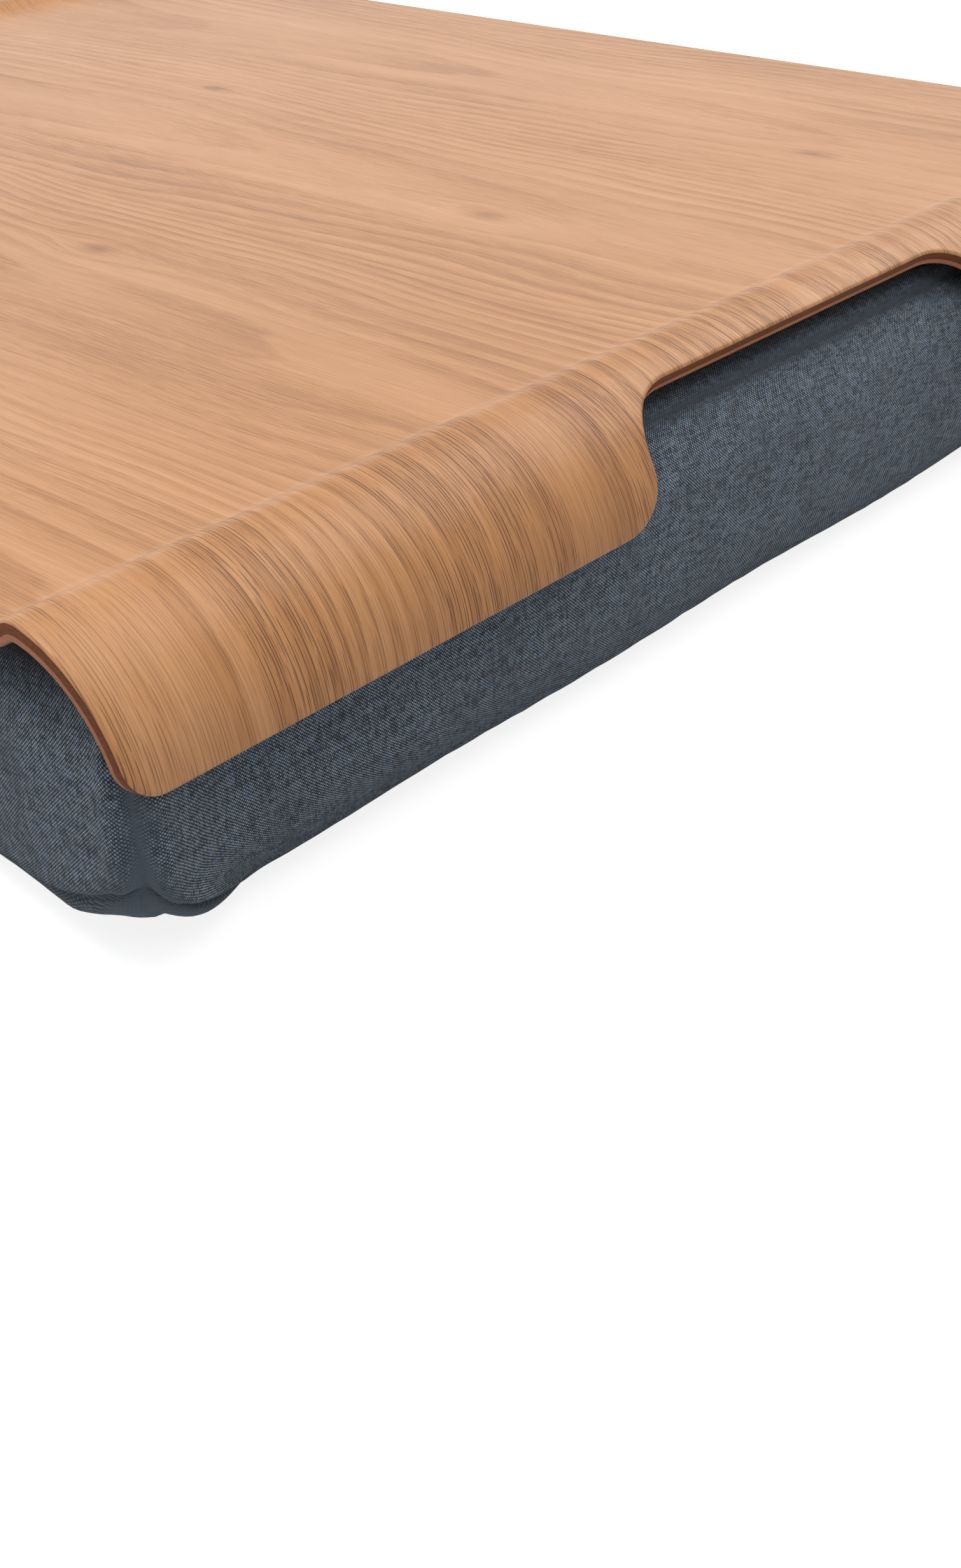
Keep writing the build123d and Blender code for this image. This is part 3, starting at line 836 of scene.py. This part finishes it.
def coverFabric():
    # plain weave of light and dark yarns: each crossing shows one as a rounded dot, darkened where it dips
    # as painted shade, with mixed fibres
    material, tree, shader = startMaterial("coverFabric")
    u, v = uvCoords(tree, "weave")
    share = weave["shares"]

    def mottle(perU, perV, roughness=0.5):
        # noise by cells to the metre along the two yarns
        return noise(join(times(u, perU), times(v, perV)), 1.0, 2.0, roughness)

    wobble = mottle(260.0, 260.0)
    uPlace = add(calc("DIVIDE", u, weave["pitch"]), times(wobble, 0.9))
    vPlace = add(calc("DIVIDE", v, weave["pitch"]), times(wobble, -0.9))
    uYarn, vYarn = calc("FLOOR", uPlace), calc("FLOOR", vPlace)
    over = calc("FLOORED_MODULO", add(uYarn, vYarn), 2.0)
    uRound, vRound = (calc("SINE", times(calc("FRACT", spot), np.pi)) for spot in (uPlace, vPlace))
    warpHeight, weftHeight = times(uRound, linear(vRound, 0.5, 0.5)), times(vRound, linear(uRound, 0.5, 0.5))
    height = add(times(over, warpHeight), times(less(1.0, over), weftHeight))
    # mixed fibres: each yarn changes tone every few crossings, and patches lose their contrast
    warpTone = speck(uYarn, calc("FLOOR", times(vPlace, 0.21)))
    weftTone = speck(calc("FLOOR", times(uPlace, 0.17)), vYarn)
    fuzz = addNode(tree, "Attribute", {}, "Fac", attribute_name="fuzz")
    contrast = times(fade(mottle(110.0, 60.0), 0.34, 0.52, 0.60, 1.0), less(1.0, fuzz))
    lightness = add(
        swing(over, share["over"]),
        swing(warpTone, share["yarn"]),
        swing(weftTone, share["yarn"]),
        swing(mottle(780.0, 430.0, 0.6), share["heather"]),
        # painted shade: each yarn lighter on its crown and darker where it dips under the next
        swing(height, share["height"], 0.55),
    )
    lightness = calc("MULTIPLY_ADD", lightness, contrast, linear(contrast, -0.11, 0.53))
    colour = ramp(lightness, (0.0, weave["dark"]), (0.46, weave["fuzz"]), (1.0, weave["light"]))
    tinted = blendColour(1.0, colour, ramp(speck(uYarn, vYarn), *weave["tints"]), "MULTIPLY")
    hair = bump(mottle(1600.0, 900.0, 0.6), 0.00008, 0.6)
    setInputs(shader, {
        "Base Color": blendColour(times(contrast, 0.8), colour, tinted),
        "Roughness": weave["roughness"],
        "Specular IOR Level": 0.25,
        "Sheen Weight": 0.10,
        "Sheen Roughness": 0.5,
        "Normal": bump(height, 0.00012, 0.9, hair),
    })
    return material


def addCover(fabric):
    # the outer cover as one padded piece
    points, faces, uv, fuzz = cushionSurface(0)
    piece = addMesh("cushionCover", points, faces, fabric, uv, sharpAngle=3.2)
    attribute = piece.data.attributes.new("fuzz", "FLOAT", "POINT")
    attribute.data.foreach_set("value", fuzz.astype(np.float32))
    editMesh(piece, weld)
    place(piece, "cushion", "cover_fabric", "cover_top_panel", "cover_bottom_panel", "cover_front_panel",
          "cover_back_panel", "cover_left_panel", "cover_right_panel")


def plainCloth(name, light, dark, cells):
    # close cloth: crossed threads as a product of sines, a slow change of tone, painted shade in the dips
    # between the threads and a bump from the threads
    material, tree, shader = startMaterial(name)
    vector, (x, y, z) = objectCoords(tree)
    threads = (calc("SINE", times(add(axis, z), 2 * np.pi * cells)) for axis in (x, y))
    height = times(*(fade(row, -1.0, 1.0) for row in threads))
    # painted shade: the cloth lighter on the threads' crowns and darker between them
    tone = linear(noise(vector, 60.0, 3.0, 0.6), 0.5, times(height, 0.6))
    setInputs(shader, {
        "Base Color": ramp(tone, (0.2, dark), (0.8, light)),
        "Roughness": 0.9,
        "Sheen Weight": 0.1,
        "Normal": bump(height, 0.00008, 0.7),
    })
    return material


def addInnerCushion():
    # the bag of beads inside the cover: the cover's own form, drawn in to the liner
    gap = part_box("cover_back_panel")[1][1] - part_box("inner_liner")[1][1]
    points, faces, _, _ = cushionSurface(gap, 8, 24)
    cloth = plainCloth("linerCloth", (0.86, 0.85, 0.81), (0.70, 0.69, 0.65), 2400.0)
    piece = addMesh("innerCushion", points, faces, cloth, sharpAngle=3.2)
    editMesh(piece, weld)
    place(piece, "cushion", "liner_fabric", "inner_liner", "bead_fill")


def backFace(x, z):
    # the y of the cover's back at a place: its half width less the draw-in and the top edge's rounding
    c = cushion
    amount, low, high = c["sideDraw"]
    up = np.clip(z - c["height"] + c["topRound"], 0, c["topRound"])
    drawn = amount * smooth(c["halfLength"] - np.abs(x), low, high)
    return c["halfWidth"] - drawn - c["topRound"] + np.sqrt(c["topRound"] ** 2 - up ** 2)


def slotLoop(count):
    # places round the zip's slot as x, z and the outward way, close together at its round corners
    radius = zipper["cornerRadius"]
    farX, farZ = zipper["halfLength"] - radius, zipper["halfHeight"] - radius
    level = np.linspace(-1, 1, count)[1:-1] * farX
    upright = np.linspace(-1, 1, 8)[1:-1] * farZ
    turn = np.radians(np.linspace(0, 90, 7))
    runs = (-level, (0, 1), 0), (-upright, (-1, 0), 1), (level, (0, -1), 0), (upright, (1, 0), 1)
    rows = []
    for quarter, (spots, outward, axis) in enumerate(runs):
        # a round corner, then the straight run after it
        angle = turn + quarter * np.pi / 2
        way = stacked(np.cos(angle), np.sin(angle))
        centre = np.array([farX if quarter in (0, 3) else -farX, farZ if quarter < 2 else -farZ])
        rows.append(np.hstack([centre + radius * way, way]))
        way = np.tile(np.array(outward, float), (len(spots), 1))
        line = way * (zipper["halfLength"] if axis else zipper["halfHeight"])
        line[:, axis] = spots
        rows.append(np.hstack([line, way]))
    return np.vstack(rows)


def addLips(fabric):
    # the folded edges of the slot: a rounded welt that rolls from the cover down to the zip's tape
    loop = slotLoop(110)
    reach = np.array([1.0, 0.86, 0.66, 0.58, 0.50, 0.34, 0.16, 0.05, 0.0, 0.0]) * zipper["lipReach"]
    lift = np.array([-0.5, 0.3, 0.75, 0.45, 0.75, 1.0, 0.9, 0.3, -1.0, -2.4]) * zipper["lipRise"]
    x = loop[:, :1] + loop[:, 2:3] * reach
    z = zipper["centre"] + loop[:, 1:2] + loop[:, 3:4] * reach
    y = backFace(x, z) + lift
    points = stacked(x, y, z)
    points = np.concatenate([points, points[:, -1:]], axis=1)
    points[:, -1, 1] = zipper["floor"] + 0.0005
    index = pointNumbers(points.shape)
    step = np.linalg.norm(np.diff(points[:, 0], axis=0, append=points[:1, 0]), axis=-1)
    along = np.concatenate([[0], np.cumsum(step)])
    grid = stacked(along[:, None], np.append(reach, -0.003))
    uv = cornerPairs(grid[:, :-1], grid[:, 1:]).reshape(-1, 4, 2)
    faces = gridFaces(np.vstack([index, index[:1]]))
    place(addMesh("zipLips", points.reshape(-1, 3), faces, fabric, uv), "cushion", "cover_fabric")


def lathe(profile, around):
    # a closed form round x from (place, radius) pairs, with its first and last points on the axis
    spot, radius = np.asarray(profile, float).T[..., None]
    angle = np.linspace(0, 2 * np.pi, around, endpoint=False)
    rings = stacked(spot, radius * np.cos(angle), radius * np.sin(angle))
    return rings.reshape(-1, 3), gridFaces(pointNumbers(rings.shape, closed=True))


def scatter(name, form, spots, ways, material):
    # copies of one form as a single mesh, each at its spot with its own three axes as rows
    points, faces = form
    placed = np.einsum("pa,nab->npb", points, ways) + spots[:, None]
    allFaces = faces[None] + len(points) * np.arange(len(spots))[:, None, None]
    return addMesh(name, placed.reshape(-1, 3), allFaces.reshape(-1, 4), material, sharpAngle=1.2)


def sameWays(rows, count):
    # the same three axes for each of that many copies
    return np.tile(np.array(rows, float), (count, 1, 1))


def thread(colour):
    # sewing thread: a fine twist across the strand, as a sine of the place, with a painted highlight on its
    # ridges and a soft sheen
    material, tree, shader = startMaterial("thread")
    _, (x, y, z) = objectCoords(tree)
    twist = calc("SINE", times(add(x, y, z), 14000.0))
    setInputs(shader, {
        # painted highlight: the colour 1.9 times brighter on the twist's ridges
        "Base Color": blendColour(fade(twist, -1.0, 1.0), colour, brighter(colour, 1.9)),
        "Roughness": 0.6,
        "Sheen Weight": 0.2,
        "Normal": bump(twist, 0.00005, 0.5),
    })
    return material


def stitchForm():
    # one stitch: a spindle whose radius is the root of the sine of its place, sunk at both ends
    share = np.linspace(0, 1, 6)
    radius = stitch["radius"] * np.sqrt(np.sin(np.pi * np.clip(share, 0.0001, 0.9999)))
    return lathe(stacked((share - 0.5) * stitch["length"], radius), 6)


def stitchLine(corners):
    # stitch spots and ways along the straight runs from corner to corner, all in one plane
    corners = np.asarray(corners, float)
    spots, ways = [], []
    for first, last in zip(corners, np.roll(corners, -1, axis=0)):
        span = np.linalg.norm(last - first)
        count = max(1, int(round(span / (stitch["length"] + stitch["gap"]))))
        spots.append(first + (np.arange(count) + 0.5)[:, None] / count * (last - first))
        ways.append(np.tile((last - first) / span, (count, 1)))
    return np.vstack(spots), np.vstack(ways)


def axesFrom(ways, normal):
    # three axes for each stitch: its run, the surface's normal and their cross product
    normal = np.broadcast_to(np.asarray(normal, float), ways.shape)
    return np.stack([ways, normal, np.cross(ways, normal)], axis=1)


def addLipStitches(material):
    # a row of stitches round the slot, in the groove of its welt
    out = 0.58 * zipper["lipReach"]
    farX, farZ = zipper["halfLength"] + out, zipper["halfHeight"] + out
    spots, ways = stitchLine([(-farX, 0, -farZ), (farX, 0, -farZ), (farX, 0, farZ), (-farX, 0, farZ)])
    spots[:, 2] += zipper["centre"]
    first, last = spots - ways * stitch["length"] / 2, spots + ways * stitch["length"] / 2
    for end in (first, last):
        end[:, 1] = backFace(end[:, 0], end[:, 2]) + 0.45 * zipper["lipRise"]
    ways = (last - first) / np.linalg.norm(last - first, axis=1, keepdims=True)
    row = scatter("zipStitches", stitchForm(), (first + last) / 2, axesFrom(ways, (0, 1, 0)), material)
    place(row, "cushion", "cover_fabric")


def addTapes():
    # the two zip tapes: flat ribbons with fine ribs along them and a cord beside the teeth
    material = plainCloth("zipTape", (0.050, 0.060, 0.072), (0.022, 0.027, 0.034), 1900.0)
    across = np.linspace(0, 1, 49)
    ribs = 0.5 + 0.5 * np.cos(2 * np.pi * across * zipper["tapeRibs"])
    cord = bell(across - 0.36, 0.035)
    tapes = (True, "zip_tape_upper", "zipTapeUpper"), (False, "zip_tape_lower", "zipTapeLower")
    for upper, node, name in tapes:
        low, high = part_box(node)
        front = high[1] - 0.00016 * (1 - ribs) + 0.00018 * cord
        z = low[2] + (across if upper else 1 - across) * (high[2] - low[2])
        ringY, ringZ = np.append(front, [low[1], low[1]]), np.append(z, z[[-1, 0]])
        x = np.linspace(low[0], high[0], 90)[:, None]
        points = stacked(x, ringY, ringZ)
        faces = gridFaces(pointNumbers(points.shape, closed=True))
        piece = addMesh(name, points.reshape(-1, 3), faces if upper else faces[:, ::-1], material)
        editMesh(piece, closeEnds)
        place(piece, "cushion", "zip_tape", node)


def satin(name, colour, roughness, metallic, grain):
    # moulded or coated surface: fine orange-peel bump and a slight change of roughness
    material, tree, shader = startMaterial(name)
    vector, _ = objectCoords(tree)
    slow = noise(vector, 300.0, 3.0, 0.6)
    setInputs(shader, {
        "Base Color": blendColour(slow, colour, brighter(colour, 1.35)),
        "Roughness": linear(slow, 0.16, roughness),
        "Metallic": metallic,
        "Normal": bump(noise(vector, grain), 0.00003, 0.4),
    })
    return material


def addTeeth():
    # the coil: teeth from both tapes that hook past each other at the middle, half a pitch apart
    width, depth = chainHigh[2] - chainLow[2], chainHigh[1] - chainLow[1]
    half = zipper["toothPitch"] / 2
    reach = width / 2 + 0.00035
    share = np.array([0.0, 0.001, 0.10, 0.55, 0.72, 0.88, 0.99, 1.0])
    radius = np.array([0.0001, 0.55, 0.72, 0.70, 0.86, 0.98, 0.60, 0.0001])
    points, faces = lathe(stacked(share * reach, radius * depth / 2), 8)
    points[:, 2] *= half * 1.04 / depth
    spots, ways = [], []
    for side in (1, -1):
        x = np.arange(chainLow[0] + half * (1 if side > 0 else 2), chainHigh[0] - half, 2 * half)
        spots.append(stacked(x, chainLow[1] + depth / 2, zipper["centre"] + side * width / 2))
        ways.append(sameWays([[0, 0, -side], [0, 1, 0], [side, 0, 0]], len(x)))
    coil = satin("zipCoil", (0.030, 0.036, 0.044), 0.38, 0.0, 5000.0)
    piece = scatter("zipTeeth", (points, faces), np.vstack(spots), np.concatenate(ways), coil)
    place(piece, "cushion", "zip_coil", "zip_chain")


def dressMetal():
    # the slider, pull and stops keep their CAD meshes, with eased edges and a coated metal
    material = satin("zipMetal", (0.055, 0.060, 0.068), 0.34, 0.85, 4000.0)
    for node, width in (("zip_slider", 0.00022), ("zip_pull", 0.00018), ("zip_end_stops", 0.00030)):
        piece = bpy.data.objects[node]
        for materialSlot in piece.material_slots:
            materialSlot.material = material
        bevel = piece.modifiers.new("easing", "BEVEL")
        bevel.limit_method = "ANGLE"
        bevel.angle_limit = 0.7
        bevel.width = width
        bevel.segments = 2


# Hook and loop patches: their own sizes in metres

patch = {
    "size": (0.020, 0.090),
    "seamInset": 0.0022,
    "rim": 0.0004,
    "hookMargin": (0.0036, 0.0030),
    "hookPitch": (0.0015, 0.0017),
    "hookJitter": 0.00012,
    "seed": 21,
}


def patchBoxes(node):
    # the four patches of a node, as their lowest and highest corners
    low, high = (np.array(corner, float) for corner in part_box(node))
    size = np.array([*patch["size"], high[2] - low[2]])
    far = high - size
    corners = [np.array([x, y, low[2]]) for x in (low[0], far[0]) for y in (low[1], far[1])]
    return [(corner, corner + size) for corner in corners]


def padForm(low, high, face, depth, rough, seed):
    # a thin pad: its face at one height with rounded rims, a stitched groove near the rim and a fine pile
    x, y = np.linspace(low[0], high[0], 45)[:, None], np.linspace(low[1], high[1], 181)
    rim = np.minimum(np.minimum(x - low[0], high[0] - x), np.minimum(y - low[1], high[1] - y))
    pile = np.random.default_rng(seed).uniform(-1, 1, rim.shape) * rough
    groove = bell(rim - patch["seamInset"], 0.0005)
    sink = 0.30 * np.exp(-rim / patch["rim"]) + 0.28 * groove
    top = stacked(x, y, face - sink * depth + pile * (rim > patch["rim"]))
    bottom = stacked(x, y, face - depth)
    faces = gridFaces(pointNumbers(rim.shape))
    starts, ends = openEdges(faces)
    walls = stacked(ends, starts, starts + rim.size, ends + rim.size)
    allFaces = np.vstack([faces, faces[:, ::-1] + rim.size, walls])
    points = np.vstack([top.reshape(-1, 3), bottom.reshape(-1, 3)])
    return points, allFaces if depth > 0 else allFaces[:, ::-1]


def pileCloth(name, light, dark, cells):
    # hook or loop tape: a tangle from two scales of noise, rough and without a sheen
    material, tree, shader = startMaterial(name)
    vector, _ = objectCoords(tree)
    tangle = noise(vector, cells, 4.0, 0.75, 1.5)
    tone = linear(tangle, 0.8, times(noise(vector, 120.0), 0.25))
    setInputs(shader, {
        "Base Color": ramp(tone, (0.30, dark), (0.75, light)),
        "Roughness": 0.9,
        "Normal": bump(tangle, 0.00030, 0.9),
    })
    return material


def addPatches(name, node, body, slotName, material, faceUp, rough, threadMaterial):
    # the four patches of one kind as one piece, with a box of stitches near the rim of each
    parts, allFaces, first, spots, ways = [], [], 0, [], []
    for number, (low, high) in enumerate(patchBoxes(node)):
        # a hook patch keeps half its depth for the hooks
        face = high[2] if faceUp else (low[2] + high[2]) / 2
        depth = face - low[2] if faceUp else face - high[2]
        points, faces = padForm(low, high, face, depth, rough, number)
        parts.append(points)
        allFaces.append(faces + first)
        first += len(points)
        (left, near), (right, far) = low[:2] + patch["seamInset"], high[:2] - patch["seamInset"]
        corners = np.array([(left, near, face), (right, near, face), (right, far, face), (left, far, face)])
        row, way = stitchLine(corners - (0, 0, 0.20 * depth))
        spots.append(row)
        ways.append(way)
    place(addMesh(name, np.vstack(parts), np.vstack(allFaces), material), body, slotName, node)
    axes = axesFrom(np.vstack(ways), (0, 0, 1))
    place(scatter(name + "Stitches", stitchForm(), np.vstack(spots), axes, threadMaterial), body, slotName)


def addHooks():
    # little mushroom hooks that hang from the hook patches, in rows with a seeded jitter
    chance = np.random.default_rng(patch["seed"])
    low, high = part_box("hook_patches")
    height = (high[2] - low[2]) / 2
    share = np.array([0, 0, 0.62, 0.72, 0.92, 1.0])
    radius = np.array([0.01, 0.12, 0.10, 0.26, 0.22, 0.01]) * 0.001
    spots = []
    for corners in patchBoxes("hook_patches"):
        start, stop = corners[0] + patch["hookMargin"][0], corners[1] - patch["hookMargin"][1]
        x, y = (np.arange(start[axis], stop[axis], pitch) for axis, pitch in enumerate(patch["hookPitch"]))
        spots.append(stacked(x[:, None], y, low[2] + height).reshape(-1, 3))
    spots = np.vstack(spots)
    spots[:, :2] += chance.uniform(-patch["hookJitter"], patch["hookJitter"], (len(spots), 2))
    ways = sameWays([[0, 0, -1], [0, 1, 0], [1, 0, 0]], len(spots))
    form = lathe(stacked(share * height, radius), 5)
    plastic = satin("hookPlastic", (0.030, 0.031, 0.034), 0.45, 0.0, 4000.0)
    place(scatter("hooks", form, spots, ways, plastic), "tray", "hook_tape")


fabric = coverFabric()
threadMaterial = thread((0.120, 0.150, 0.180))
addCover(fabric)
addInnerCushion()
addLips(fabric)
addLipStitches(threadMaterial)
addTapes()
addTeeth()
dressMetal()
loopPile = pileCloth("loopPile", (0.060, 0.062, 0.068), (0.010, 0.010, 0.012), 1800.0)
addPatches("loopPatches", "loop_patches", "cushion", "loop_tape", loopPile, True, 0.00010, threadMaterial)
hookBase = pileCloth("hookBase", (0.040, 0.041, 0.045), (0.012, 0.012, 0.014), 2600.0)
addPatches("hookPatches", "hook_patches", "tray", "hook_tape", hookBase, False, 0.00002, threadMaterial)
addHooks()
print("cushion, zip and patches made")

# Stage, lights and camera: places in metres, lamp power in watts

camera = {
    "place": (0.4163, -0.3002, 0.1870),
    "right": (0.7281, 0.6843, -0.0400),
    "up": (-0.3549, 0.4262, 0.8321),
    "back": (0.5865, -0.5917, 0.5531),
    "lens": 41.63,
    "sensor": 36.0,
}

stage = {
    "floorReach": 6.0,
    "floorDrop": 0.0002,
    "paper": 0.62,
    "cameraGlow": 0.64,
    "seenGlow": 0.20,
    "sky": (0.23, 1.0),
}

lamps = (
    ("keyLamp", (-0.05, -0.35, 1.6), (0.1, 0, 0.03), 1.0, 14.0),
    ("fillLamp", (1.1, -0.6, 1.5), (0.15, 0, 0.03), 0.7, 5.0),
    ("backLamp", (0.25, 1.15, 1.3), (0.1, 0, 0.03), 1.2, 10.0),
)


def seenRays(tree):
    # 1 for the camera's own rays, and 1 for these and the rays of reflections and clear bodies
    path = tree.nodes.new("ShaderNodeLightPath").outputs
    own = path["Is Camera Ray"]
    return own, combine("MAXIMUM", own, path["Is Glossy Ray"], path["Is Transmission Ray"])


def whiteFloor():
    # a pale floor: lit as paper for the object, and shown white apart from the object's shadow
    material = bpy.data.materials.new("paleFloor")
    tree = emptyTree(material)
    own, seen = seenRays(tree)
    glow = linear(own, stage["cameraGlow"], times(seen, stage["seenGlow"]))
    paper = addNode(tree, "BsdfDiffuse", {"Color": (stage["paper"],) * 3 + (1,)})
    light = addNode(tree, "Emission", {"Color": (1, 1, 1, 1), "Strength": glow})
    both = addNode(tree, "AddShader", {0: paper, 1: light})
    wire(tree.nodes.new("ShaderNodeOutputMaterial").inputs["Surface"], both)
    return material


def addFloor():
    # a flat square under the cushion, far wider than any view of the object
    reach, drop = stage["floorReach"], -stage["floorDrop"]
    points = [(-reach, -reach, drop), (reach, -reach, drop), (reach, reach, drop), (-reach, reach, drop)]
    piece = addMesh("floor", points, [[0, 1, 2, 3]], whiteFloor())


def addWorld():
    # a plain pale world, shown white behind the object and in its reflections
    world = bpy.data.worlds.new("studio")
    bpy.context.scene.world = world
    tree = emptyTree(world)
    strength = fade(seenRays(tree)[1], 0.0, 1.0, *stage["sky"])
    sky = addNode(tree, "Background", {"Color": (1, 1, 1, 1), "Strength": strength})
    wire(tree.nodes.new("ShaderNodeOutputWorld").inputs["Surface"], sky)


def addTurned(name, data, *columns):
    # an object for a lamp or camera: its right, up and back ways and its place are the columns of its matrix
    holder = bpy.data.objects.new(name, data)
    bpy.context.scene.collection.objects.link(holder)
    turned = np.eye(4)
    turned[:3] = stacked(*columns)
    holder.matrix_world = Matrix(turned.tolist())
    return holder


def addLamp(name, spot, target, size, power):
    # a square soft lamp that faces its target
    lamp = bpy.data.lights.new(name, "AREA")
    lamp.shape = "SQUARE"
    lamp.size = size
    lamp.energy = power
    back = np.subtract(spot, target)
    back /= np.linalg.norm(back)
    right = np.cross((0.0, 0.0, 1.0), back)
    right /= np.linalg.norm(right)
    addTurned(name, lamp, right, np.cross(back, right), back, spot)


def addCamera():
    # the camera that the photograph's lines give
    lens = bpy.data.cameras.new("camera")
    lens.lens = camera["lens"]
    lens.sensor_width = camera["sensor"]
    lens.clip_start = 0.01
    ways = (camera[key] for key in ("right", "up", "back", "place"))
    bpy.context.scene.camera = addTurned("camera", lens, *ways)


addFloor()
addWorld()
for lamp in lamps:
    addLamp(*lamp)
addCamera()
bpy.context.scene.view_settings.view_transform = "Standard"
print("stage, lights and camera set")
